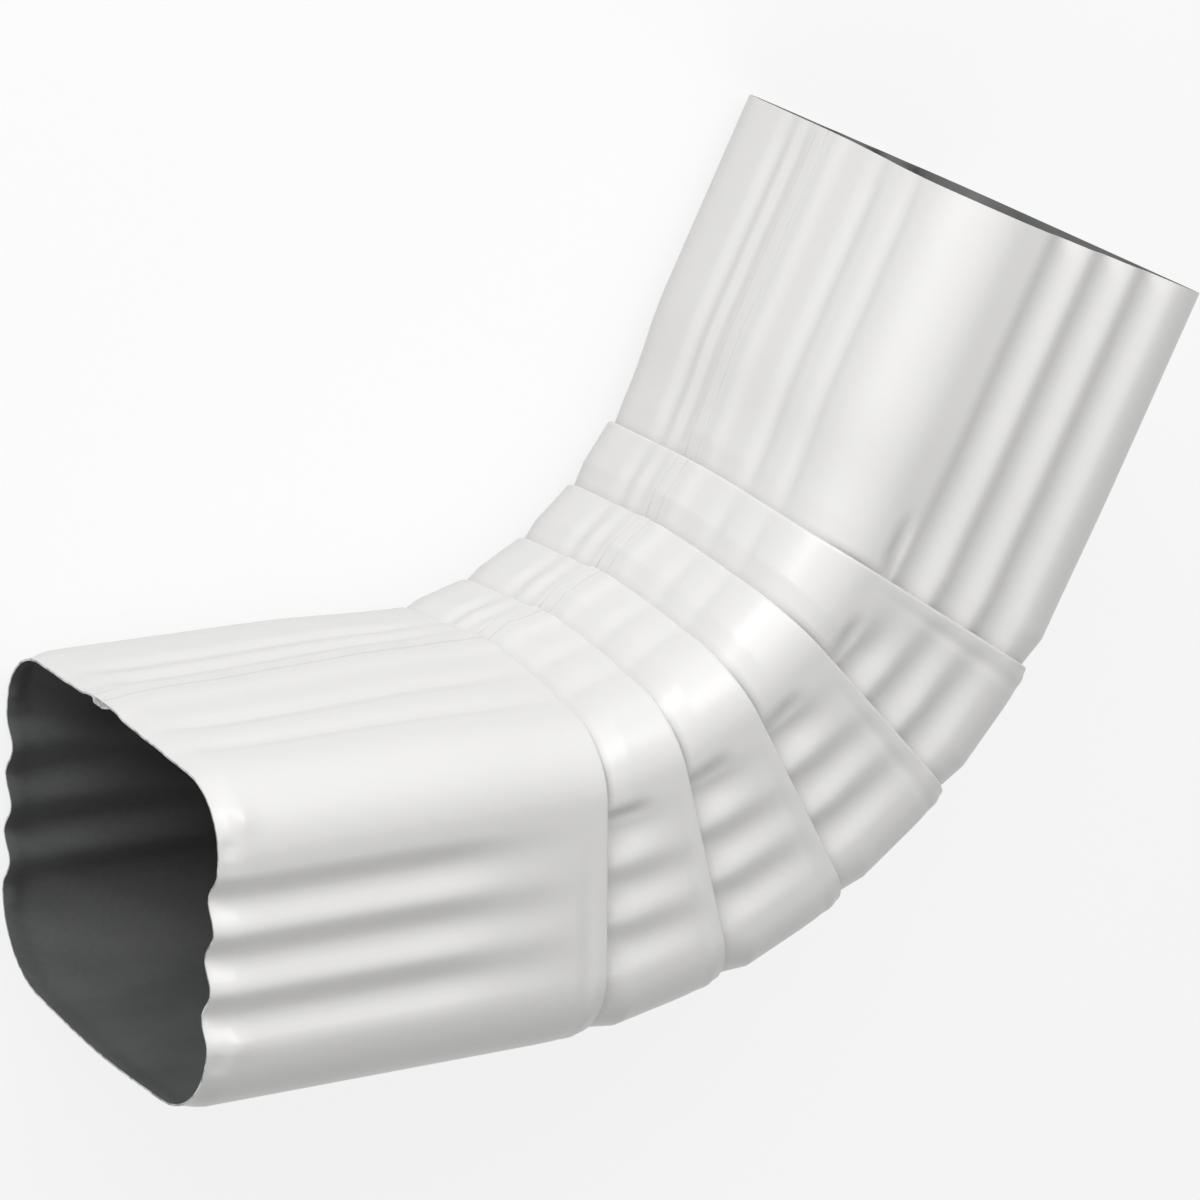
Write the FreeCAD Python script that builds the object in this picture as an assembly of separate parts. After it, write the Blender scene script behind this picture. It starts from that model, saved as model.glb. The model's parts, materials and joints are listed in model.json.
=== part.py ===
import FreeCAD, Part
import math
import os

# Downspout elbow folded from one sheet, lying on its far side; all sizes in mm

# Sheet and section of the pipe
sheet = 0.5
face_width = 108.0
side_depth = 82.6
inner_corner = 16.0
outer_corner = 16.0
outlet_outer_corner = 22.0
inner_crown = 1.2
back_crown = 2.4

# Lengths along the back of the bend, and the turn at each pleat in degrees
outlet_length = 106.3
segment_length = 37.2
inlet_length = 99.9
pleat_count = 5
pleat_turn = 13.3

# Pleats: the lip leans in degrees and bows on the inner face, less at each pleat further up
lip_lean = 4.2
lip_bow = 5.5
lip_bow_keep = 0.68
lip_tuck = 1.0
lip_round = 4.5
lip_groove = 0.4
back_overlap = 1.6
ply_gap = 0.3
fold_sink = 1.3

# Above each lip the pipe comes out narrower, leans the other way and widens again over the rise length
rise_length = 8.0
rise_inset = 0.5
rise_lean = 8.0

# Corrugations of the two sides, which nest loosely in the hidden plies
side_groove_count = 3
side_groove_pitch = 14.4
side_groove_depth = 3.4
side_groove_height = 44.8
side_groove_dent = 1.8
groove_fade = 0.7
nested_groove = 0.7

# Shares of the two end limbs: the grooves start to fade towards the first lip, and come out of the last one
outlet_plain = 0.58
outlet_fading = 0.76
inlet_widening = 0.28
inlet_plain = 0.5

# Shallow grooves of the inner bend face, two on either side of the seam
face_groove_depth = 1.2
face_groove_width = 9.5
face_groove_step = 14.0
face_groove_below = 6.5
face_groove_above = 16.0

# Lock seam
seam_start = 44.0
seam_width = 9.0
seam_rise = 1.0
seam_strip = 4.2
seam_step = 0.3
seam_slot = 0.12
seam_slot_length = 45.0

# Drawn-in outlet end, and the inner face that swells there and narrows above the last pleat
draw_depth = 1.2
draw_length = 7.0
outlet_swell = 1.4
inlet_waist = 1.3

total_turn = pleat_count * pleat_turn
seam_end = seam_start + seam_width
lip_radius = sheet + ply_gap / 2
flat_enough = sheet / 50
fold_lean = lip_lean + pleat_turn / 2
lock_depth = 4 * sheet + 3 * seam_slot - seam_rise
face_grooves = []
for step in range(2):
    face_grooves.append(seam_start - face_groove_below - step * face_groove_step)
    face_grooves.append(seam_end + face_groove_above + step * face_groove_step)


def smooth(x):
    x = min(max(x, 0.0), 1.0)
    return x * x * (3 - 2 * x)


def hump(x, centre, width):
    t = (x - centre) / width
    if abs(t) >= 0.5:
        return 0.0
    return 0.5 + 0.5 * math.cos(2 * math.pi * t)


def bulge(z):
    return math.sin(math.pi * min(max(z / face_width, 0), 1)) ** 2


def tan(degrees):
    return math.tan(math.radians(degrees))


# Walk round the section: w runs from the back of the bend to its inner face, z from far side to near side
def corner(w, z, radius, start, count=4):
    found = []
    for n in range(count + 1):
        a = math.radians(start + 90.0 * n / count)
        found.append((w + radius * math.cos(a), z + radius * math.sin(a), math.cos(a), math.sin(a)))
    return found


def grooved_side(z, nz):
    found = []
    first = side_groove_height - side_groove_pitch * side_groove_count / 2
    lowest = max(outer_corner, outlet_outer_corner)
    for n in range(5 * side_groove_count + 1):
        w = first + side_groove_pitch * n / 5
        if lowest + 0.5 < w < side_depth - inner_corner - 0.5:
            found.append((w, z, 0, nz))
    return found


def inner_face():
    strip_end = seam_start + seam_strip
    places = [seam_start - 1.2, seam_start - 0.6, seam_start + 0.3, strip_end, strip_end + 0.5]
    places += [seam_end - 0.3, seam_end + 1.2, seam_end + 3]
    for centre in face_grooves:
        for part in (-0.5, 0, 0.5):
            place = centre + face_groove_width * part
            if inner_corner + 0.5 < place < face_width - inner_corner - 0.5:
                places.append(place)
    return [(side_depth, place, 1, 0) for place in sorted(places)]


def around(outer):
    inner_w = side_depth - inner_corner
    quarter = (face_width / 2 + outer) / 2
    walk = [(0, face_width / 2, -1, 0), (0, quarter, -1, 0)]
    walk += corner(outer, outer, outer, 180)
    walk += grooved_side(0, -1)
    walk += corner(inner_w, inner_corner, inner_corner, 270)
    walk += inner_face()
    walk += corner(inner_w, face_width - inner_corner, inner_corner, 0)
    walk += reversed(grooved_side(face_width, 1))
    walk += corner(outer, face_width - outer, outer, 90)
    walk.append((0, face_width - quarter, -1, 0))
    return walk


# The groove nearest the inner face has a sharp dent just above a lip, and fades before the other two do
def groove_at(w, z, nw, nz, dent, fade):
    deep = 0.0
    if abs(nz) > 0.5:
        for n in range(side_groove_count):
            centre = side_groove_height + side_groove_pitch * (n - (side_groove_count - 1) / 2)
            strength = side_groove_depth
            if n == side_groove_count - 1:
                strength = strength * (1 - fade)
                deep += side_groove_dent * dent * hump(w, centre + side_groove_pitch / 7, side_groove_pitch * 0.6)
            deep += strength * hump(w, centre, side_groove_pitch)
        deep = deep * abs(nz)
    if nw > 0.5:
        for centre in face_grooves:
            deep += face_groove_depth * hump(z, centre, face_groove_width)
    return deep


def band_at(z, nw):
    if nw < 0.99:
        return 0.0
    step = seam_step * smooth((z - seam_start - seam_strip) / 0.5) * (1 - smooth((z - seam_end + 0.3) / 1.5))
    return seam_rise * smooth((z - seam_start + 0.5) / 0.9) * (1 - smooth((z - seam_end) / 3.0)) - step


def lock_at(z, nw):
    if nw < 0.99:
        return 0.0
    return smooth((z - seam_start + 1.2) / 1.2) * (1 - smooth((z - seam_end) / 1.2))


def seam_clear(z, nw):
    if nw < 0.99:
        return 1.0
    return 1 - smooth((z - seam_start + 6) / 4) * (1 - smooth((z - seam_end - 3) / 4))


# The outer corners of run k: widest on the outlet limb, and at full sharpness from the second pleat on
def corner_at(k):
    return outer_corner + (outlet_outer_corner - outer_corner) * max(1 - k / 2, 0)


# One closed curve of the section on run k, inset from the outside; groove, seam and lock say how far each is formed
def section(inset, k, depth=0, groove=1, seam=1, lock=0, draw=0, sink=0, tuck=0, dent=0, fade=0):
    walk = around(corner_at(k))
    pts = []
    for w, z, nw, nz in walk:
        crown = inner_crown if nw > 0 else back_crown
        e = depth + groove * groove_at(w, z, nw, nz, dent, fade) - crown * bulge(z) * abs(nw)
        e += draw * seam_clear(z, nw) + sink * max(w / side_depth, 0) ** 2
        e += tuck * 2 * max(-nw, 0) * abs(nz)
        pts.append((w - e * nw, z - e * nz))
    out = []
    size = len(pts)
    for n in range(size):
        w, z, nw, nz = walk[n]
        (w0, z0), (w1, z1) = pts[n - 1], pts[(n + 1) % size]
        run = math.hypot(w1 - w0, z1 - z0)
        mw, mz = -(z1 - z0) / run, (w1 - w0) / run
        if mw * nw + mz * nz < 0:
            mw, mz = -mw, -mz
        rise = seam * band_at(z, nw)
        if inset > 0:
            rise = rise * (1 - lock) - (lock_depth - sheet) * lock * lock_at(z, nw)
        out.append((pts[n][0] - (inset - rise) * mw, pts[n][1] - (inset - rise) * mz))
    return out


# Straight runs of the pipe: start point on the back line, direction and length of each
def runs():
    found = []
    x = y = 0.0
    angle = 90.0 - total_turn
    for k in range(pleat_count + 1):
        length = segment_length
        if k == 0:
            length = outlet_length
        if k == pleat_count:
            length = inlet_length
        found.append((x, y, math.radians(angle), length))
        x += length * math.cos(math.radians(angle))
        y += length * math.sin(math.radians(angle))
        angle += pleat_turn
    return found


pipe = runs()


# One row of points: on run k, at a place along its back line, leaning by an angle and bowed on the inner face
def row(k, along, lean, bow, curve):
    x, y, a, length = pipe[k]
    pts = []
    for w, z in curve:
        s = along - w * tan(lean) + bow * bulge(z) * max(w / side_depth, 0) ** 2
        px = x + s * math.cos(a) - w * math.sin(a)
        py = y + s * math.sin(a) + w * math.cos(a)
        pts.append(FreeCAD.Vector(px, py, z))
    return pts


# The lip, the ply that runs back under it, the hidden fold and the ply that comes out again
def pleat_rows(i, wall):
    length = pipe[i][3]
    bow = lip_bow * lip_bow_keep ** i
    near_lip = length - lip_radius
    second = sheet + ply_gap
    third = 2 * second
    fold = length - back_overlap
    turn = [(near_lip, 0, 0, 0.8), (length, lip_radius, 0, 0.6), (near_lip, 2 * sheet + ply_gap, 0, 0.4)]
    if wall:
        turn = [(near_lip, sheet, 0, 0.8), (near_lip, second, 0, 0.4)]
        fold -= sheet
        folds = (second, third + sheet)
        out = third + sheet
    else:
        folds = (second + sheet, third)
        out = third
    rows = []
    for along, inset, groove, seam in turn:
        rows.append(row(i, along, lip_lean, bow, section(inset, i, groove=groove, seam=seam, tuck=lip_tuck)))
    for inset in folds:
        curve = section(inset, i, seam=0, sink=fold_sink, tuck=lip_tuck)
        rows.append(row(i, fold, fold_lean, bow, curve))
    curve = section(out, i, groove=nested_groove, seam=0.4, tuck=lip_tuck, dent=1)
    rows.append(row(i, near_lip, lip_lean, bow, curve))
    return rows


# All rows of one skin from the outlet end to the inlet end, outside or at the wall's inner face
def skin_rows(wall):
    t = sheet if wall else 0.0
    rows = [row(0, 0, 0, 0, section(t, 0, lock=1, draw=draw_depth, sink=-outlet_swell)),
            row(0, draw_length, 0, 0, section(t, 0, lock=1, sink=-outlet_swell)),
            row(0, outlet_length * outlet_plain, lip_lean / 2, 0, section(t, 0, lock=1, sink=-outlet_swell)),
            row(0, outlet_length * outlet_fading, lip_lean, lip_bow / 2,
                section(t, 0, groove=0.8, sink=-outlet_swell / 2, fade=groove_fade / 2))]
    for i in range(pleat_count):
        bow = lip_bow * lip_bow_keep ** i
        curve = section(t, i, groove=lip_groove, fade=groove_fade)
        rows.append(row(i, pipe[i][3] - lip_round, lip_lean - 1.5, bow * 0.8, curve))
        rows += pleat_rows(i, wall)
        waist = inlet_waist if i == pleat_count - 1 else 0
        curve = section(t, i + 1, depth=rise_inset, sink=waist, dent=0.4)
        rows.append(row(i + 1, rise_length, -rise_lean, bow, curve))
    last = pleat_count
    curve = section(t, last, sink=inlet_waist * 0.7)
    rows.append(row(last, inlet_length * inlet_widening, -rise_lean * 0.45, 0, curve))
    rows.append(row(last, inlet_length * inlet_plain, 0, 0, section(t, last, lock=1)))
    rows.append(row(last, inlet_length, 0, 0, section(t, last, lock=1)))
    return rows


# Facets between two rows: one ruled face where four corners lie nearly flat, else a pair of triangles
def facets(row_a, row_b):
    found = []
    size = len(row_a)
    for n in range(size):
        m = (n + 1) % size
        a, b, c, d = row_a[n], row_a[m], row_b[m], row_b[n]
        across = (b - a).cross(d - a).normalize()
        if abs(across.dot(c - a)) < flat_enough:
            found.append(Part.makeRuledSurface(Part.makeLine(a, b), Part.makeLine(d, c)))
        elif (c - a).Length < (d - b).Length:
            found.append(Part.Face(Part.makePolygon([a, b, c, a])))
            found.append(Part.Face(Part.makePolygon([a, c, d, a])))
        else:
            found.append(Part.Face(Part.makePolygon([a, b, d, a])))
            found.append(Part.Face(Part.makePolygon([b, c, d, b])))
    return found


def closed(pts):
    return Part.makePolygon(pts + [pts[0]])


# The folded pipe: outside skin, inside skin and the sheet's bare edge at each end
def folded_pipe():
    outer = skin_rows(False)
    inner = skin_rows(True)
    faces = []
    for rows in (outer, inner):
        for row_a, row_b in zip(rows[:-1], rows[1:]):
            faces += facets(row_a, row_b)
    for end in (0, -1):
        faces.append(Part.makeFace([closed(outer[end]), closed(inner[end])], "Part::FaceMakerBullseye"))
    shell = Part.makeShell(faces)
    shell.sewShape()
    solid = Part.makeSolid(shell)
    if solid.Volume < 0:
        solid.reverse()
    return solid


# The lock seam: the sheet's two edges hook into each other, so a thin gap winds between four layers
first = sheet - seam_rise + seam_slot / 2
layer = sheet + seam_slot
winding = [(seam_start - 0.75, -0.3), (seam_start + 0.15, first + 2 * layer), (seam_end + 0.3, first + 2 * layer),
           (seam_end + 0.3, first + layer), (seam_start + 0.55, first + layer), (seam_start + 0.55, first),
           (seam_end + 0.4, first), (seam_end + 1.1, first + layer), (seam_end + 1.1, lock_depth + 0.6)]


def seam_gap(k, start, length, swell):
    a = pipe[k][2]
    tools = []
    for (z0, d0), (z1, d1) in zip(winding[:-1], winding[1:]):
        w0 = side_depth + swell + inner_crown * bulge(z0) - d0
        w1 = side_depth + swell + inner_crown * bulge(z1) - d1
        size = math.hypot(z1 - z0, w1 - w0)
        tz = (z1 - z0) / size * seam_slot / 2
        tw = (w1 - w0) / size * seam_slot / 2
        corners = [(w0 - tw + tz, z0 - tz - tw), (w1 + tw + tz, z1 + tz - tw),
                   (w1 + tw - tz, z1 + tz + tw), (w0 - tw - tz, z0 - tz + tw)]
        face = Part.Face(closed(row(k, start, 0, 0, corners)))
        tools.append(face.extrude(FreeCAD.Vector(length * math.cos(a), length * math.sin(a), 0)))
    return tools


gaps = seam_gap(0, -1, seam_slot_length + 1, outlet_swell)
gaps += seam_gap(pleat_count, inlet_length - seam_slot_length, seam_slot_length + 1, 0)
elbow = folded_pipe().cut(gaps).Solids[0]

# The origin is under the middle of the elbow, on the surface that it lies on
box = elbow.BoundBox
elbow.translate(FreeCAD.Vector(-box.Center.x, -box.Center.y, -box.ZMin))

os.makedirs("parts", exist_ok=True)
elbow.exportStep("parts/elbow.step")
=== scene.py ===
import json
import math

import bpy
import numpy as np
from mathutils import Matrix, Vector


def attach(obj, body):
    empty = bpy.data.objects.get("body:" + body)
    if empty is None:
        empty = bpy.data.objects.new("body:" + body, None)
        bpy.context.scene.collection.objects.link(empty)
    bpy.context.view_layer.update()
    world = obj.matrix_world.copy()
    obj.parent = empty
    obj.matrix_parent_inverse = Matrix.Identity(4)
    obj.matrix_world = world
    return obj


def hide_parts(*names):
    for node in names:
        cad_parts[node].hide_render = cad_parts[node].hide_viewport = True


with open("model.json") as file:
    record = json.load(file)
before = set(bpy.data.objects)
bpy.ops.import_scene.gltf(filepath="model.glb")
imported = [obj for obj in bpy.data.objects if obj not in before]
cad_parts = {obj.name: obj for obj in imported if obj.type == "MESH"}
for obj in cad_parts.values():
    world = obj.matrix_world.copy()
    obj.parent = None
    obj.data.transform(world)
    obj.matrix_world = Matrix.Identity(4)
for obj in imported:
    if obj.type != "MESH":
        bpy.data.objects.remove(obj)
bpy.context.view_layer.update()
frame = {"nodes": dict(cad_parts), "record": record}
print("frame loaded:", sorted(frame["nodes"]))

mm = 0.001

# The folded pipe, in millimetres and degrees, as it is in the part
pipe = {
    "sheet": 0.5,
    "faceWidth": 108.0,
    "sideDepth": 82.6,
    "innerCorner": 16.0,
    "outerCorner": 16.0,
    "outletOuterCorner": 22.0,
    "fullCornerRuns": 2,    # the outlet's fuller outer corners end after so many runs
    "innerCrown": 1.2,
    "backCrown": 2.4,
    "outletLength": 106.3,
    "segmentLength": 37.2,
    "inletLength": 99.9,
    "pleatCount": 5,
    "pleatTurn": 13.3,
}

totalTurn = pipe["pleatCount"] * pipe["pleatTurn"]
lastRun = pipe["pleatCount"]

# How many points go round one section
roundPoints = {
    "corner": 16,
    "back": 8,
    "side": 38,
    "beforeSeam": 15,
    "seamEdge": 9,
    "seamStrip": 2,
    "stripStep": 5,
    "afterSeam": 21,
}
edgeReach = (-1.6, 1.4)     # points are close from here to here about the hooked edge
stepReach = (-0.8, 1.0)     # and about the step beside its strip


def smooth(x):
    x = np.clip(x, 0.0, 1.0)
    return x * x * (3 - 2 * x)


# The same on one number, from 0 at the start to 1 at the end
def ramp(x, start, end):
    return float(smooth((x - start) / (end - start)))


def hump(x, centre, width):
    t = np.clip((x - centre) / width, -0.5, 0.5)
    return 0.5 + 0.5 * np.cos(2 * np.pi * t)


def between(a, b, t):
    return a + (b - a) * t


def spread(a, b, count):
    return np.linspace(a, b, count + 2)[1:-1]


def bulge(z):
    return np.sin(np.pi * np.clip(z / pipe["faceWidth"], 0, 1)) ** 2


def tan(degrees):
    return math.tan(math.radians(degrees))


# Lock seam on the inner face, placed across the width
seam = {
    "start": 44.0,
    "width": 9.0,
    "rise": 1.0,
    "edge": 0.9,            # the hooked edge comes up over this width
    "edgeBefore": 0.5,      # and starts this far before the seam
    "fall": 4.0,            # the seam's other side goes down over this
    "strip": 4.2,           # the hooked edge shows as a narrow strip with a fine step beside it
    "stripStep": 0.3,
    "stepEdge": 0.5,
    "stepWidth": 1.2,
    "stepFall": 3.0,
    "foot": 0.2,            # fine groove along the hooked edge
    "footBefore": 0.9,
    "footWidth": 1.5,
    "lock": 1.3,            # how far its layers stand into the pipe
    "lockWidth": 6.75,
    "lockEdge": 0.8,
    "stiffBefore": 6.0,     # the sheet keeps its shape this far on both sides of the seam
    "stiffAfter": 3.0,
    "stiffFade": 4.0,
    "drift": -6.0,          # sideways wander of seam and ripples towards the first lip
    "driftWidth": 76.0,     # over this width of the face
    "straightShare": 0.2,   # of the outlet limb, from its rim
    "waves": ((0.20, 4.1, 0.0), (0.15, 9.7, 1.0), (0.10, 1.9, 0.0)),    # the hooked edge wavers: by, length, phase
    "waveWidth": 3.6,
    "waveShift": 61.0,
}
seamEnd = seam["start"] + seam["width"]
seamStep = seam["start"] + seam["strip"]

# Share of the seam's drift at both ends of each run
driftShares = ((0, 1), (1, 0.65), (0.65, 0.35), (0.35, 0.1), (0.1, 0), (0, 0))


# Places across the inner face, closer together where the seam steps
def facePlaces(low, high):
    edge = [seam["start"] + reach for reach in edgeReach]
    step = [seamStep + reach for reach in stepReach]
    return np.concatenate([
        spread(low, edge[0], roundPoints["beforeSeam"]),
        spread(*edge, roundPoints["seamEdge"]),
        spread(edge[1], step[0], roundPoints["seamStrip"]),
        spread(*step, roundPoints["stripStep"]),
        spread(step[1], high, roundPoints["afterSeam"]),
    ])


def outerRadius(k):
    extra = pipe["outletOuterCorner"] - pipe["outerCorner"]
    return pipe["outerCorner"] + extra * max(1 - k / pipe["fullCornerRuns"], 0)


# Walk round the section of run k: w from the back, z from the far side, and the outward direction nw, nz
def walkRound(k):
    outer = outerRadius(k)
    depth, width, inner = pipe["sideDepth"], pipe["faceWidth"], pipe["innerCorner"]
    rows = []

    def arc(w, z, radius, start):
        a = np.radians(start + np.linspace(0, 90, roundPoints["corner"]))
        rows.append(np.stack([w + radius * np.cos(a), z + radius * np.sin(a), np.cos(a), np.sin(a)], 1))

    def line(w, z, nw, nz):
        w, z = np.broadcast_arrays(np.asarray(w, float), np.asarray(z, float))
        rows.append(np.stack([w, z, np.full(w.shape, float(nw)), np.full(w.shape, float(nz))], 1))

    half = roundPoints["back"] // 2
    line(0, np.linspace(width / 2, outer, half + 1)[:-1], -1, 0)
    arc(outer, outer, outer, 180)
    line(spread(outer, depth - inner, roundPoints["side"]), 0, 0, -1)
    arc(depth - inner, inner, inner, 270)
    line(depth, facePlaces(inner, width - inner), 1, 0)
    arc(depth - inner, width - inner, inner, 0)
    line(spread(depth - inner, outer, roundPoints["side"]), width, 0, 1)
    arc(outer, width - outer, outer, 90)
    line(0, spread(width - outer, width / 2, half), -1, 0)
    return np.concatenate(rows)


walks = [walkRound(k) for k in range(lastRun + 1)]


# The flat inner face, without its corners
def onFace(nw):
    return nw > 0.99


# Corrugations of the two sides
grooves = {
    "count": 3,
    "pitch": 14.4,
    "depth": 3.4,
    "height": 44.8,         # the middle one, from the back of the bend
    "dent": 1.8,            # the innermost one is pinched just above each lip
    "dentAbove": 1.8,       # this far towards the inner face
    "dentWidth": 6.624,
    "fade": 0.7,            # and fades first towards the next lip
    "drift": -2.3,          # they lie nearer the back than in the part, by this at the outlet
    "driftEach": -1.0,      # and by this more with each run
}

# Shallow grooves of the inner face: place at the outlet, place at the inlet, width, depth
ripples = {
    "far": (29.0, 31.0, 9.0, 1.2),
    "besideSeam": (38.5, 38.5, 8.0, 1.1),
    "near": (69.5, 70.5, 9.0, 1.2),
    "corner": (82.5, 84.5, 8.5, 1.1),
}


def grooveDepth(k, dent, fade):
    w, z, nw, nz = walks[k].T
    deep = np.zeros(len(w))
    for n in range(grooves["count"]):
        place = grooves["height"] + grooves["pitch"] * (n - (grooves["count"] - 1) / 2)
        strength = grooves["depth"]
        if n == grooves["count"] - 1:
            strength = strength * (1 - fade)
            deep += grooves["dent"] * dent * hump(w, place + grooves["dentAbove"], grooves["dentWidth"]) * np.abs(nz)
        place += grooves["drift"] + grooves["driftEach"] * k
        deep += strength * hump(w, place, grooves["pitch"]) * np.abs(nz)
    return deep


def rippleDepth(walk, share):
    w, z, nw, nz = walk.T
    deep = np.zeros(len(w))
    for atOutlet, atInlet, width, depth in ripples.values():
        deep += depth * hump(z, between(atOutlet, atInlet, share), width) * np.clip(nw, 0, 1) ** 2
    return deep


def seamRise(z, nw):
    up = smooth((z - seam["start"] + seam["edgeBefore"]) / seam["edge"])
    down = 1 - smooth((z - seamEnd) / seam["fall"])
    step = smooth((z - seamStep) / seam["stepEdge"])
    step = step * (1 - smooth((z - seamStep - seam["stepWidth"]) / seam["stepFall"]))
    foot = hump(z, seam["start"] - seam["footBefore"], seam["footWidth"])
    return (seam["rise"] * up * down - seam["stripStep"] * step - seam["foot"] * foot) * onFace(nw)


# The seam's layers stand into the pipe on its inner side
def seamLock(z, nw):
    past = z - seam["start"]
    up = smooth(past / seam["lockEdge"])
    down = 1 - smooth((past - seam["lockWidth"]) / seam["lockEdge"])
    return seam["lock"] * up * down * onFace(nw)


# Nearly 0 around the seam, where the sheet is stiff, and 1 elsewhere
def seamClear(z, nw):
    up = smooth((z - seam["start"] + seam["stiffBefore"]) / seam["stiffFade"])
    down = 1 - smooth((z - seamEnd - seam["stiffAfter"]) / seam["stiffFade"])
    return 1 - up * down * onFace(nw)


# How far seam and ripples lie aside at a place along run k
def slideOf(k, s):
    low, high = driftShares[k]
    u = float(np.clip(s / runs[k][3], 0, 1))
    if k == 0:
        u = ramp(u, seam["straightShare"], 1)
    return seam["drift"] * between(low, high, u)


def wavering(k, s):
    place = s + seam["waveShift"] * k
    return sum(by * math.sin(place / length + phase) for by, length, phase in seam["waves"])


# Creases of the drawn-in outlet end, on both sides, each with a swelling further along
creases = {
    "inner": {"place": 70.0, "width": 4.2, "depth": 1.1, "length": 6.5, "swelling": 75.5},
    "outer": {"place": 17.5, "width": 4.2, "depth": 1.1, "length": 8.0, "swelling": 22.0},
    "slant": 0.15,
    "deepest": 0.4,         # share of the length
    "roundCorner": 1.6,     # they reach this much further round the corners
    "swellingSize": 8.0,
    "swellingRise": 0.88,
}


def creaseDepth(walk, s):
    w, z, nw, nz = walk.T
    deep = np.zeros(len(w))
    size = creases["swellingSize"]
    for crease in (creases["inner"], creases["outer"]):
        length = crease["length"]
        cut = hump(w, crease["place"] + s * creases["slant"], crease["width"]) ** 2
        deep += crease["depth"] * cut * float(hump(s, length * creases["deepest"], length))
        deep -= creases["swellingRise"] * hump(w, crease["swelling"], size) * float(hump(s, length, size))
    return deep * np.clip(np.abs(nz) * creases["roundCorner"], 0, 1)


# The lips of the pleats and the plies behind them
pleat = {
    "lean": 4.2,
    "bow": 5.5,
    "bowKeep": 0.68,        # each lip bows less than the one before
    "gap": 0.3,
    "tuck": 1.0,            # how far the outer corners round in at the lip
    "round": 4.5,           # over this length
    "valley": 0.10,         # and how far they dip behind the lip's bead
    "valleyBehind": 7.5,
    "valleyLength": 9.0,
    "bead": 0.40,           # the same along the sides
    "beadBehind": 4.8,
    "beadLength": 6.4,
    "beadFull": 30.0,       # full up to this height of the sides
    "beadEnd": 66.0,        # and gone here
    "overlap": 1.6,
    "foldSink": 1.6,
    "ripple": 0.3,          # shares of ripples, corrugations, dent and seam that go through the pleat
    "foldRipple": 0.6,
    "nested": 0.7,
    "nestedDent": 0.5,
    "seam": 0.8,
    "nestedSeam": 0.4,
    "rise": 8.0,            # the next run has come up to full size here
    "riseLean": -8.0,
    "riseSink": 0.5,
    "riseRound": 0.45,
    "lipPoints": 9,
    "lipPointsInside": 4,
    "risePoints": 6,
    "risePointsInside": 2,
}
lipRadius = pipe["sheet"] + pleat["gap"] / 2

# The outlet limb from its drawn-in rim to the first pleat
outletLimb = {
    "draw": 1.2,
    "drawLength": 7.0,
    "drawAtSeam": 0.4,      # share of it where the seam is
    "swell": 1.4,
    "settle": 16.0,         # ripples and seam are up to full height here
    "rimShare": 0.15,       # and have this share of it at the rim
    "bendFrom": 0.55,       # share of the length from where the first lip pulls
    "fades": ((0.50, 0.76, 0.72), (0.74, 0.97, 0.28)),  # corrugations fade from here to here by this share
    "flatRipple": 0.7,      # ripples lose this share near the lip
    "flatReach": (22.0, 2.0),   # from here to here before it
    "flatSeam": 0.2,        # and the seam this
    "middle": 0.6,
    "lipLength": 10.0,
    "rimPoints": 11,
    "middlePoints": 20,
    "bendPoints": 11,
    "lipPoints": 12,
}

# The short runs between pleats, with shares at their low end and at the next lip
shortRun = {
    "groove": 0.62,
    "grooveEach": 0.07,     # and this more with each run
    "groovePower": 1.3,
    "dentEnd": 1.9,         # how fast the dent and the innermost groove fade along the run
    "fadeRate": 1.5,
    "ripple": (0.8, 0.3),
    "seam": (1.0, 0.8),
    "ends": 8.0,
    "lowPoints": 8,
    "middlePoints": 8,
    "lipPoints": 12,
}

# The inlet limb from the last pleat to its square-cut mouth
inletLimb = {
    "waist": 1.3,
    "settle": 0.5,          # share of the length where the pleat's pull ends
    "dentLength": 15.0,
    "mouthLength": 12.0,
    "mouthRipple": 0.5,
    "mouthDip": 1.0,        # at the corner between inner face and near side
    "dipAcross": (0.45, 0.85),  # it grows from here to here of the face's width
    "dipUp": (10.0, 67.82),     # and of the side's height
    "lowLength": 14.0,
    "lowPoints": 14,
    "points": 27,
}


# One closed curve on run k, inset from the outside
def sectionCurve(inset, k, depth=0, groove=1, ripple=1, seamPart=1, draw=0, sink=0, tuck=0, dent=0, fade=0,
                 slide=0, waver=0, lock=0, bead=0, crease=None):
    walk = walks[k]
    w, z, nw, nz = walk.T
    crown = np.where(nw > 0, pipe["innerCrown"], pipe["backCrown"])
    e = depth + groove * grooveDepth(k, dent, fade) + ripple * rippleDepth(walk, k / lastRun)
    if crease is not None:
        e = e + creaseDepth(walk, crease)
    e = e - crown * bulge(z) * np.abs(nw)
    e = e + draw * between(outletLimb["drawAtSeam"], 1.0, seamClear(z, nw))
    e = e + sink * np.clip(w / pipe["sideDepth"], 0, 1) ** 2
    e = e + tuck * 2 * np.clip(-nw, 0, 1) * np.abs(nz)
    e = e + bead * np.abs(nz) * (1 - smooth((w - pleat["beadFull"]) / (pleat["beadEnd"] - pleat["beadFull"])))
    aside = slide * (1 - (1 - hump(z, pipe["faceWidth"] / 2, seam["driftWidth"])) ** 2)
    aside = aside + waver * hump(z, seamStep, seam["waveWidth"])
    pts = np.stack([w - e * nw, z - e * nz + aside * onFace(nw)], 1)
    along = np.roll(pts, -1, 0) - np.roll(pts, 1, 0)
    along /= np.linalg.norm(along, axis=1)[:, None]
    out = np.stack([along[:, 1], -along[:, 0]], 1)
    out *= np.sign((out * np.stack([nw, nz], 1)).sum(1))[:, None]
    shift = inset - seamRise(z, nw) * seamPart + seamLock(z, nw) * lock
    return pts - shift[:, None] * out


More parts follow.
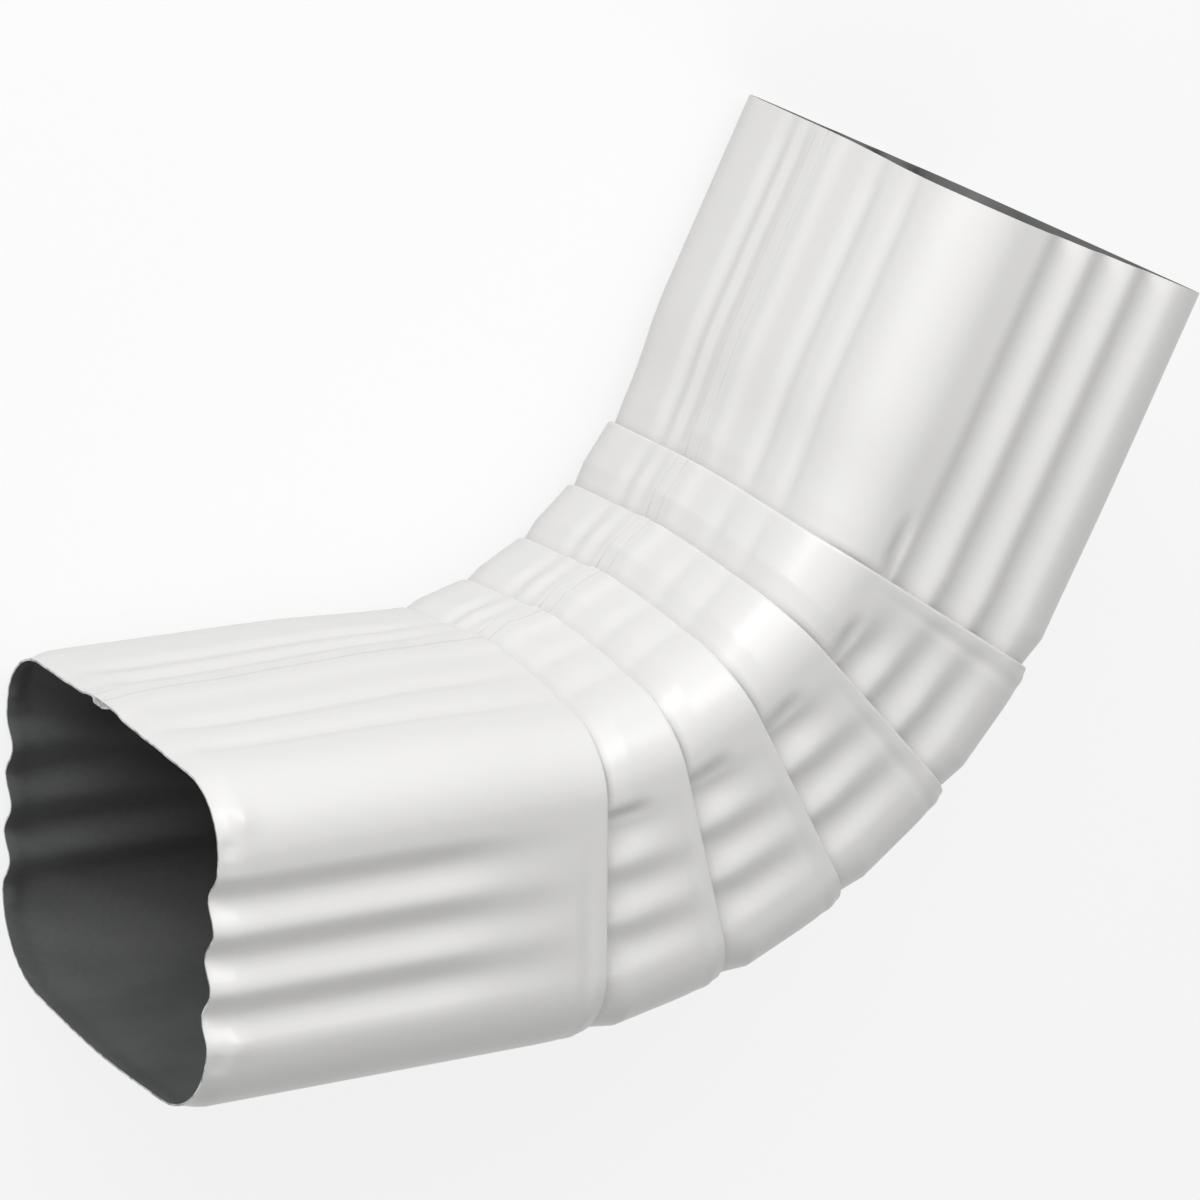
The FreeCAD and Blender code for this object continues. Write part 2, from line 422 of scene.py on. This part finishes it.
# Each run's start on the back line, its direction and its length
def pipeRuns():
    found = []
    x = y = 0.0
    angle = 90.0 - totalTurn
    for k in range(lastRun + 1):
        length = pipe["segmentLength"]
        if k == 0:
            length = pipe["outletLength"]
        if k == lastRun:
            length = pipe["inletLength"]
        found.append((x, y, math.radians(angle), length))
        x += length * math.cos(math.radians(angle))
        y += length * math.sin(math.radians(angle))
        angle += pipe["pleatTurn"]
    return found


runs = pipeRuns()

# The part's own inlet mount says where the pipe lies in the frame
inletMount = next(m for m in frame["record"]["mounts"] if m["name"] == "inlet_socket")
endX, endY, endAngle, endLength = runs[lastRun]
inletCentre = (endX + endLength * math.cos(endAngle) - pipe["sideDepth"] / 2 * math.sin(endAngle),
               endY + endLength * math.sin(endAngle) + pipe["sideDepth"] / 2 * math.cos(endAngle),
               pipe["faceWidth"] / 2)
pipeShift = np.array([place / mm - centre for place, centre in zip(inletMount["pos_m"], inletCentre)])


# One row of points on run k, at a place along its back line, leaning and bowed on the inner face
def rowPoints(k, along, lean, bow, curve):
    x, y, a, length = runs[k]
    w, z = curve[:, 0], curve[:, 1]
    s = along - w * tan(lean) + bow * bulge(z) * np.clip(w / pipe["sideDepth"], 0, None) ** 2
    px = x + s * math.cos(a) - w * math.sin(a)
    py = y + s * math.sin(a) + w * math.cos(a)
    return np.stack([px, py, z], 1) + pipeShift


def bowOf(i):
    return pleat["bow"] * pleat["bowKeep"] ** i


# Inward shift of the outer corners near a lip: rounded in at its end, and a shallow valley behind its bead
def cornerTuck(toLip):
    rounding = (1 - ramp(toLip, 0, pleat["round"])) ** 1.5
    return pleat["tuck"] * rounding + pleat["valley"] * float(hump(toLip, pleat["valleyBehind"], pleat["valleyLength"]))


def beadValley(toLip):
    return pleat["bead"] * float(hump(toLip, pleat["beadBehind"], pleat["beadLength"]))


# The lip and the plies hidden behind it, from the outside skin's last row to the first row that shows again
def pleatRows(i, wall):
    sheet, gap = pipe["sheet"], pleat["gap"]
    length = runs[i][3]
    lean, bow = pleat["lean"], bowOf(i)
    foldLean = lean + pipe["pleatTurn"] / 2
    nearLip = length - lipRadius
    second = sheet + gap
    third = 2 * second
    inner = sheet if wall else 0
    radius = gap / 2 if wall else lipRadius
    same = {"tuck": pleat["tuck"], "slide": slideOf(i, length)}
    rows = []
    for t in np.linspace(0, 1, pleat["lipPointsInside"] if wall else pleat["lipPoints"]):
        a = math.pi * t
        curve = sectionCurve(inner + radius * (1 - math.cos(a)), i, groove=0, ripple=pleat["ripple"],
                             seamPart=between(pleat["seam"], pleat["nestedSeam"], t), **same)
        rows.append(rowPoints(i, nearLip + radius * math.sin(a), lean, bow, curve))
    hidden = (second, third + sheet) if wall else (second + sheet, third)
    for inset in hidden:
        curve = sectionCurve(inset, i, ripple=pleat["foldRipple"], seamPart=0, sink=pleat["foldSink"],
                             bead=pleat["bead"], **same)
        rows.append(rowPoints(i, length - pleat["overlap"] - inner, foldLean, bow, curve))
    curve = sectionCurve(third + inner, i, groove=pleat["nested"], ripple=pleat["ripple"],
                         seamPart=pleat["nestedSeam"], dent=pleat["nestedDent"], **same)
    rows.append(rowPoints(i, nearLip, lean, bow, curve))
    return rows


def shortRunRows(k, wall):
    inset = pipe["sheet"] if wall else 0.0
    low, high = pleat["rise"], runs[k][3] - lipRadius
    ends = shortRun["ends"]
    places = np.concatenate([np.linspace(low, low + ends, shortRun["lowPoints"]),
                             spread(low + ends, high - ends, shortRun["middlePoints"]),
                             np.linspace(high - ends, high, shortRun["lipPoints"])[:-1]])
    if wall:
        places = places[::2]
    rows = []
    for s in places:
        u = (s - low) / (high - low)
        groove = (shortRun["groove"] + shortRun["grooveEach"] * k) * (1 - u ** shortRun["groovePower"])
        curve = sectionCurve(inset, k, depth=pleat["riseSink"] * (1 - u), groove=groove,
                             ripple=between(*shortRun["ripple"], u), seamPart=between(*shortRun["seam"], u),
                             tuck=cornerTuck(high - s), dent=1 - float(smooth(u * shortRun["dentEnd"])),
                             fade=grooves["fade"] * float(smooth(u * shortRun["fadeRate"])),
                             slide=slideOf(k, s), waver=wavering(k, s), bead=beadValley(high - s))
        rows.append(rowPoints(k, s, between(pleat["riseLean"], pleat["lean"], u),
                              between(bowOf(k - 1), bowOf(k), u), curve))
    return rows


# Rows that carry the skin from under a lip up to the next run
def risingRows(start, end, count):
    rows = []
    for n in range(1, count + 1):
        t = n / (count + 1)
        rows.append(between(start, end, between(t, float(smooth(t)), pleat["riseRound"])))
    return rows


def outletRows(wall):
    inset = pipe["sheet"] if wall else 0.0
    length = runs[0][3]
    high = length - lipRadius
    rim, middle, lip = outletLimb["drawLength"], length * outletLimb["middle"], high - outletLimb["lipLength"]
    places = np.concatenate([np.linspace(0, rim, outletLimb["rimPoints"]),
                             spread(rim, middle, outletLimb["middlePoints"]),
                             np.linspace(middle, lip, outletLimb["bendPoints"]),
                             spread(lip, high, outletLimb["lipPoints"])])
    if wall:
        places = places[::2]
    rows = []
    for s in places:
        late = ramp(s, length * outletLimb["bendFrom"], high)
        settled = between(outletLimb["rimShare"], 1.0, ramp(s, 0, outletLimb["settle"]))
        groove = 1 - sum(share * ramp(s / length, start, end) for start, end, share in outletLimb["fades"])
        flat = ramp(s, *(high - reach for reach in outletLimb["flatReach"]))
        ripple = settled * (1 - outletLimb["flatRipple"] * flat)
        curve = sectionCurve(inset, 0, groove=groove, ripple=ripple, seamPart=settled - outletLimb["flatSeam"] * late,
                             draw=outletLimb["draw"] * (1 - ramp(s, 0, rim)), sink=-outletLimb["swell"] * (1 - late),
                             tuck=cornerTuck(high - s), fade=grooves["fade"] * late, slide=slideOf(0, s),
                             waver=wavering(0, s), lock=(1 - late) * wall, bead=beadValley(high - s), crease=s)
        rows.append(rowPoints(0, s, pleat["lean"] * late, pleat["bow"] * late, curve))
    return rows


# Where the square-cut mouth dips a little
def mouthDip(walk):
    w, z, nw, nz = walk.T
    left, right = inletLimb["dipAcross"]
    low, high = inletLimb["dipUp"]
    return smooth((z / pipe["faceWidth"] - left) / (right - left)) * smooth((w - low) / (high - low))


def inletRows(wall):
    inset = pipe["sheet"] if wall else 0.0
    k = lastRun
    length = runs[k][3]
    low = pleat["rise"]
    start = low + inletLimb["lowLength"]
    places = np.concatenate([np.linspace(low, start, inletLimb["lowPoints"]),
                             spread(start, length, inletLimb["points"]), [length]])
    if wall:
        places = places[1::2]       # ends on the mouth like the outside skin
    rows = []
    for s in places:
        pull = 1 - ramp(s, low, length * inletLimb["settle"])
        mouth = ramp(s, length - inletLimb["mouthLength"], length)
        curve = sectionCurve(inset, k, depth=pleat["riseSink"] * pull, sink=inletLimb["waist"] * pull,
                             dent=1 - ramp(s, low, low + inletLimb["dentLength"]), waver=wavering(k, s),
                             lock=(1 - pull) * wall, ripple=1 - inletLimb["mouthRipple"] * mouth)
        row = rowPoints(k, s, pleat["riseLean"] * pull, bowOf(k - 1) * pull, curve)
        row[:, 1] -= inletLimb["mouthDip"] * mouth * mouthDip(walks[k])
        rows.append(row)
    return rows


# Painted shade in the pleats' gaps, in the dents above each lip and along the seam's edge, as shares of its full
# strength
paintedShade = {
    "unshadedRows": 5,         # rows of a pleat left without painted shade, from its lip
    "fullRows": 3,          # and the rows over which it then comes to full strength
    "rising": 0.7,          # painted shade left where the next run comes up from under the lip
    "risingLoss": 0.45,     # less by this with each row
    "flats": 0.25,          # away from the inner corners
    "corner": 74.0,
    "cornerWidth": 30.0,
    "dent": 0.30,           # painted shade in the dents above a lip
    "dentLoss": 0.1,
    "dentPlace": 61.3,
    "dentWidth": 4.4,
    "strip": 0.32,          # painted shadow along the seam's hooked edge
    "stripPast": 0.3,
    "stripWidth": 0.7,
    "foot": 0.22,
    "footBefore": 0.5,
    "footWidth": 1.1,
}


# All rows of one skin, how far each is hidden in a pleat (the strength of its painted shade), and how near it is above
# a lip
def skinRows(wall):
    rows = outletRows(wall)
    hidden = [0.0] * len(rows)
    above = [0.0] * len(rows)
    for i in range(pipe["pleatCount"]):
        folded = pleatRows(i, wall)
        hidden += [float(smooth((n - paintedShade["unshadedRows"]) / paintedShade["fullRows"])) for n in range(len(folded))]
        rows += folded
        following = shortRunRows(i + 1, wall) if i + 1 < lastRun else inletRows(wall)
        rising = risingRows(rows[-1], following[0], pleat["risePointsInside"] if wall else pleat["risePoints"])
        hidden += [max(paintedShade["rising"] - paintedShade["risingLoss"] * n, 0) for n in range(len(rising))]
        above += [0.0] * len(folded) + [1.0] * len(rising)
        rows += rising + following
        hidden += [0.0] * len(following)
        above += [max(1 - paintedShade["dentLoss"] * n, 0) for n in range(len(following))]
    return rows, hidden, above


def quadStrip(first, second, count):
    here = np.arange(count)
    beside = (here + 1) % count
    return np.stack([first + here, first + beside, second + beside, second + here], 1)


# All strips between the rows of one skin, turned to face out of the sheet
def skinQuads(base, rowCount, count, wall):
    strips = []
    for n in range(rowCount - 1):
        first, second = base + n * count, base + (n + 1) * count
        strips.append(quadStrip(second, first, count) if wall else quadStrip(first, second, count))
    return np.concatenate(strips)


# Painted shade in the pleats' gaps, in the dents and along the seam, as a value on each point that the paint reads to
# darken its colour
def markPaintedShade(mesh, hiddenOutside, hiddenInside, aboveLip):
    w, z, nw, nz = walks[0].T
    corner = hump(w, paintedShade["corner"], paintedShade["cornerWidth"]) * np.clip(1 - nw, 0, 1) ** 0.5
    corner = between(paintedShade["flats"], 1.0, corner)
    strip = hump(z, seamStep + paintedShade["stripPast"], paintedShade["stripWidth"])
    foot = hump(z, seam["start"] - paintedShade["footBefore"], paintedShade["footWidth"])
    hooked = paintedShade["strip"] * strip + paintedShade["foot"] * foot
    pinched = paintedShade["dent"] * hump(w, paintedShade["dentPlace"], paintedShade["dentWidth"]) * (np.abs(nz) > 0.99)
    paintedShades = np.outer(hiddenOutside + hiddenInside, corner)
    outer = paintedShades[:len(hiddenOutside)]
    np.maximum(outer, hooked * onFace(nw), out=outer)
    np.maximum(outer, np.outer(aboveLip, pinched), out=outer)
    # the painted shade goes on the points as an attribute
    paintedShadeAmount = mesh.attributes.new("paintedPleatShade", "FLOAT", "POINT")
    paintedShadeAmount.data.foreach_set("value", paintedShades.ravel().astype(np.float32))


# The sheet's cut edge is sharp on both its rims, at both mouths
def markRims(mesh, rims, count):
    ends = np.empty(2 * len(mesh.edges), np.int32)
    mesh.edges.foreach_get("vertices", ends)
    rowOf = ends.reshape(-1, 2) // count
    sharp = mesh.attributes.new("sharp_edge", "BOOLEAN", "EDGE")
    sharp.data.foreach_set("value", np.isin(rowOf[:, 0], rims) & (rowOf[:, 0] == rowOf[:, 1]))


# One closed mesh: outside skin in paint, inside skin in wash coat, and the sheet's bare edge at both mouths
def buildElbow():
    outside, hiddenOutside, aboveLip = skinRows(False)
    inside, hiddenInside, _ = skinRows(True)
    count = len(outside[0])
    base = len(outside) * count
    end = base + len(inside) * count
    parts = [
        skinQuads(0, len(outside), count, False),
        skinQuads(base, len(inside), count, True),
        quadStrip(base, 0, count),
        quadStrip(base - count, end - count, count),
    ]
    kinds = np.repeat([0, 1, 2, 2], [len(part) for part in parts])
    quads = np.concatenate(parts)
    mesh = bpy.data.meshes.new("foldedElbow")
    mesh.from_pydata((np.concatenate(outside + inside) * mm).tolist(), [], quads.tolist())
    mesh.update()
    mesh.polygons.foreach_set("use_smooth", np.ones(len(quads), bool))
    mesh.polygons.foreach_set("material_index", kinds.astype(np.int32))
    markPaintedShade(mesh, hiddenOutside, hiddenInside, aboveLip)
    markRims(mesh, [0, len(outside) - 1, len(outside), len(outside) + len(inside) - 1], count)
    elbow = bpy.data.objects.new("foldedElbow", mesh)
    bpy.context.collection.objects.link(elbow)
    print("elbow mesh:", len(outside), "rows outside,", len(inside), "inside,", count, "round,",
          2 * len(quads), "triangles")
    return elbow


# A socket that takes part in sums
class Amount:
    def __init__(self, look, socket):
        self.look = look
        self.socket = socket

    def combine(self, kind, a, b):
        return self.look.add("ShaderNodeMath", {"operation": kind}, {0: a, 1: b})

    def __add__(self, other):
        return self.combine("ADD", self, other)

    def __radd__(self, other):
        return self.combine("ADD", other, self)

    def __sub__(self, other):
        return self.combine("SUBTRACT", self, other)

    def __rsub__(self, other):
        return self.combine("SUBTRACT", other, self)

    def __mul__(self, other):
        return self.combine("MULTIPLY", self, other)

    def __rmul__(self, other):
        return self.combine("MULTIPLY", other, self)

    def highest(self, other):
        return self.combine("MAXIMUM", self, other)


# A material or world and the nodes put into it
class Look:
    def __init__(self, owner):
        owner.use_nodes = True
        self.tree = owner.node_tree
        self.tree.nodes.clear()

    def add(self, kind, settings=None, inputs=None, output=0):
        node = self.tree.nodes.new(kind)
        for name, value in (settings or {}).items():
            setattr(node, name, value)
        for name, value in (inputs or {}).items():
            if isinstance(value, Amount):
                self.tree.links.new(value.socket, node.inputs[name])
            else:
                node.inputs[name].default_value = value
        return Amount(self, node.outputs[output]) if node.outputs else node

    def noise(self, place, scale, detail):
        return self.add("ShaderNodeTexNoise", {}, {"Vector": place, "Scale": scale, "Detail": detail})

    def fade(self, value, start, end, first=0.0, last=1.0):
        return self.add("ShaderNodeMapRange", {}, {0: value, 1: start, 2: end, 3: first, 4: last})

    def mix(self, factor, a, b):
        return self.add("ShaderNodeMix", {"data_type": "RGBA"}, {0: factor, 6: a, 7: b}, 2)


def newMaterial(name):
    material = bpy.data.materials.new(name)
    return material, Look(material)


paint = {
    "white": (0.838, 0.833, 0.822, 1),
    "warm": (0.805, 0.797, 0.780, 1),
    "dust": (0.30, 0.29, 0.27, 1),
    # dark grey for painted shade in the pleats' gaps, the dents and along the seam
    "paintedShade": (0.10, 0.10, 0.095, 1),
    "roughness": 0.37,
    "roughnessSpread": 0.10,
    "coat": 0.18,
    "coatRoughness": 0.26,
    "cloudScale": 28.0,     # unevenness of tone and gloss
    "fineScale": 240.0,
    "peelScale": 900.0,     # orange peel
    "peelDepth": 0.02 * mm,
    "speckCells": 46.0,     # a speck of dust may lie in each cell
    "speckSize": (0.012, 0.030),
    "speckPatches": 33.0,   # and does in some patches
    "patchEdge": (0.60, 0.64),
    "speckShare": 0.7,
    "paintedShadeShare": 0.9,
}


# White baked enamel: faint orange peel, slight unevenness of tone and gloss, a few dust specks, and painted shade
# darkening the folds, dents and seam edge
def paintMaterial():
    material, look = newMaterial("whiteEnamel")
    place = look.add("ShaderNodeTexCoord", output=3)
    cloud = look.noise(place, paint["cloudScale"], 4.0)
    fine = look.noise(place, paint["fineScale"], 3.0)
    peel = look.noise(place, paint["peelScale"], 2.0)
    patches = look.noise(place, paint["speckPatches"], 0.0)
    cells = look.add("ShaderNodeTexVoronoi", {}, {"Vector": place, "Scale": paint["speckCells"]})
    speck = look.fade(cells, *paint["speckSize"], 1.0, 0.0)
    dusty = look.fade(patches, *paint["patchEdge"])
    # painted shade: the colour darkens towards dark grey where the mesh marks the pleats' gaps, the dents and the
    # seam's edge
    paintedShadeAmount = look.add("ShaderNodeAttribute", {"attribute_name": "paintedPleatShade"}, output=2)
    colour = look.mix(cloud * 0.5 + fine * 0.3, paint["white"], paint["warm"])
    colour = look.mix(speck * dusty * paint["speckShare"], colour, paint["dust"])
    colour = look.mix(paintedShadeAmount * paint["paintedShadeShare"], colour, paint["paintedShade"])
    rough = cloud * paint["roughnessSpread"] + (paint["roughness"] - paint["roughnessSpread"] / 2)
    bump = look.add("ShaderNodeBump", {}, {"Height": peel, "Strength": 0.25, "Distance": paint["peelDepth"]})
    shader = look.add("ShaderNodeBsdfPrincipled", {}, {
        "Base Color": colour, "Roughness": rough, "Normal": bump,
        "Coat Weight": paint["coat"], "Coat Roughness": paint["coatRoughness"]})
    look.add("ShaderNodeOutputMaterial", {}, {0: shader})
    return material


wash = {
    "grey": (0.105, 0.112, 0.107, 1),
    "pale": (0.215, 0.222, 0.216, 1),
    "roughness": 0.24,
    "streakScale": 60.0,
    "streakStretch": 0.12,
    "grainScale": 700.0,
    "grainDepth": 0.03 * mm,
}


# Thin grey wash coat inside, streaked along the way the sheet was rolled
def washMaterial():
    material, look = newMaterial("greyWashCoat")
    place = look.add("ShaderNodeTexCoord", output=3)
    rolled = look.add("ShaderNodeMapping", {}, {
        "Vector": place, "Rotation": (0, 0, math.radians(totalTurn - 90)), "Scale": (wash["streakStretch"], 1, 1)})
    cloud = look.noise(rolled, wash["streakScale"], 5.0)
    grain = look.noise(place, wash["grainScale"], 2.0)
    colour = look.mix(cloud * 0.9 + grain * 0.3 - 0.1, wash["grey"], wash["pale"])
    rough = grain * 0.12 + cloud * 0.10 + wash["roughness"]
    bump = look.add("ShaderNodeBump", {}, {"Height": grain, "Strength": 0.2, "Distance": wash["grainDepth"]})
    shader = look.add("ShaderNodeBsdfPrincipled", {}, {"Base Color": colour, "Roughness": rough, "Normal": bump})
    look.add("ShaderNodeOutputMaterial", {}, {0: shader})
    return material


cutEdge = {
    "bare": (0.62, 0.63, 0.64, 1),
    "dull": (0.34, 0.35, 0.35, 1),
    "roughness": 0.35,
    "metallic": 0.9,
    "tornFrom": (0.42, 0.60),
    "tornRougher": 0.25,
    "tearScale": 420.0,
    "tearDepth": 0.1 * mm,
}


# Sheared aluminium edge: bright with dull torn spots
def edgeMaterial():
    material, look = newMaterial("shearedEdge")
    place = look.add("ShaderNodeTexCoord", output=3)
    tear = look.noise(place, cutEdge["tearScale"], 3.0)
    spots = look.fade(tear, *cutEdge["tornFrom"])
    colour = look.mix(spots, cutEdge["bare"], cutEdge["dull"])
    rough = spots * cutEdge["tornRougher"] + cutEdge["roughness"]
    bump = look.add("ShaderNodeBump", {}, {"Height": tear, "Strength": 0.5, "Distance": cutEdge["tearDepth"]})
    shader = look.add("ShaderNodeBsdfPrincipled", {}, {
        "Base Color": colour, "Roughness": rough, "Normal": bump, "Metallic": cutEdge["metallic"]})
    look.add("ShaderNodeOutputMaterial", {}, {0: shader})
    return material


elbow = buildElbow()
for material in (paintMaterial(), washMaterial(), edgeMaterial()):
    elbow.data.materials.append(material)
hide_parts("elbow")
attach(elbow, "root")
print("elbow dressed")


studio = {
    "floorSize": 6.0,
    "floorShade": 0.36,
    "floorGlow": 0.80,      # share of plain white that the camera sees, the rest takes the shadow
    "ambient": 0.41,
    "lamps": {
        "inner": {"from": (-0.85, 0.46, 0.26), "distance": 1.7, "size": 1.0, "power": 13.0},
        "top": {"from": (-0.35, 0.60, 0.72), "distance": 0.9, "size": 0.5, "power": 2.5},
    },
}


# Pale floor that shows white to the camera and keeps the elbow's shadow
def layFloor():
    half = studio["floorSize"] / 2
    mesh = bpy.data.meshes.new("floor")
    mesh.from_pydata([(-half, -half, 0), (half, -half, 0), (half, half, 0), (-half, half, 0)], [], [(0, 1, 2, 3)])
    floor = bpy.data.objects.new("floor", mesh)
    bpy.context.collection.objects.link(floor)
    material, look = newMaterial("paleFloor")
    camera = look.add("ShaderNodeLightPath", output=0)
    glossy = look.add("ShaderNodeLightPath", output=3)
    seen = camera.highest(glossy)
    white = (1, 1, 1, 1)
    shade = (studio["floorShade"],) * 3 + (1,)
    lit = look.add("ShaderNodeBsdfDiffuse", {}, {"Color": look.mix(seen, shade, white)})
    glow = look.add("ShaderNodeEmission", {}, {"Color": white, "Strength": 1.0})
    shader = look.add("ShaderNodeMixShader", {}, {0: seen * studio["floorGlow"], 1: lit, 2: glow})
    look.add("ShaderNodeOutputMaterial", {}, {0: shader})
    mesh.materials.append(material)


# White around the elbow to the camera, softer as light, and two large lamps
def lightStudio():
    world = bpy.data.worlds.new("studio")
    bpy.context.scene.world = world
    look = Look(world)
    camera = look.add("ShaderNodeLightPath", output=0)
    glossy = look.add("ShaderNodeLightPath", output=3)
    through = look.add("ShaderNodeLightPath", output=6)
    seen = camera.highest(glossy).highest(through)
    strength = seen * (1 - studio["ambient"]) + studio["ambient"]
    sky = look.add("ShaderNodeBackground", {}, {"Color": (1, 1, 1, 1), "Strength": strength})
    look.add("ShaderNodeOutputWorld", {}, {0: sky})
    for name, lamp in studio["lamps"].items():
        light = bpy.data.lights.new(name, "AREA")
        light.shape = "DISK"
        light.size = lamp["size"]
        light.energy = lamp["power"]
        holder = bpy.data.objects.new(name, light)
        bpy.context.collection.objects.link(holder)
        direction = Vector(lamp["from"]).normalized()
        holder.location = direction * lamp["distance"]
        holder.rotation_euler = direction.to_track_quat("Z", "Y").to_euler()


# The camera looks down on the lying elbow, turned as the photograph has it
cameraView = {
    "place": (-0.795494, 0.143836, 1.116541),
    "right": (0.754210, 0.400620, 0.520261),
    "back": (-0.600904, 0.101666, 0.792830),
    "lens": 168.084,
    "sensor": 36.0,
}


def setCamera():
    data = bpy.data.cameras.new("camera")
    data.sensor_width = cameraView["sensor"]
    data.lens = cameraView["lens"]
    data.clip_end = 50.0
    camera = bpy.data.objects.new("camera", data)
    bpy.context.collection.objects.link(camera)
    back = Vector(cameraView["back"]).normalized()
    right = Vector(cameraView["right"])
    right = (right - back * right.dot(back)).normalized()
    turn = Matrix((right, back.cross(right), back)).transposed().to_4x4()
    camera.matrix_world = Matrix.Translation(cameraView["place"]) @ turn
    bpy.context.scene.camera = camera


layFloor()
lightStudio()
setCamera()
bpy.context.scene.view_settings.view_transform = "Standard"
print("studio set")
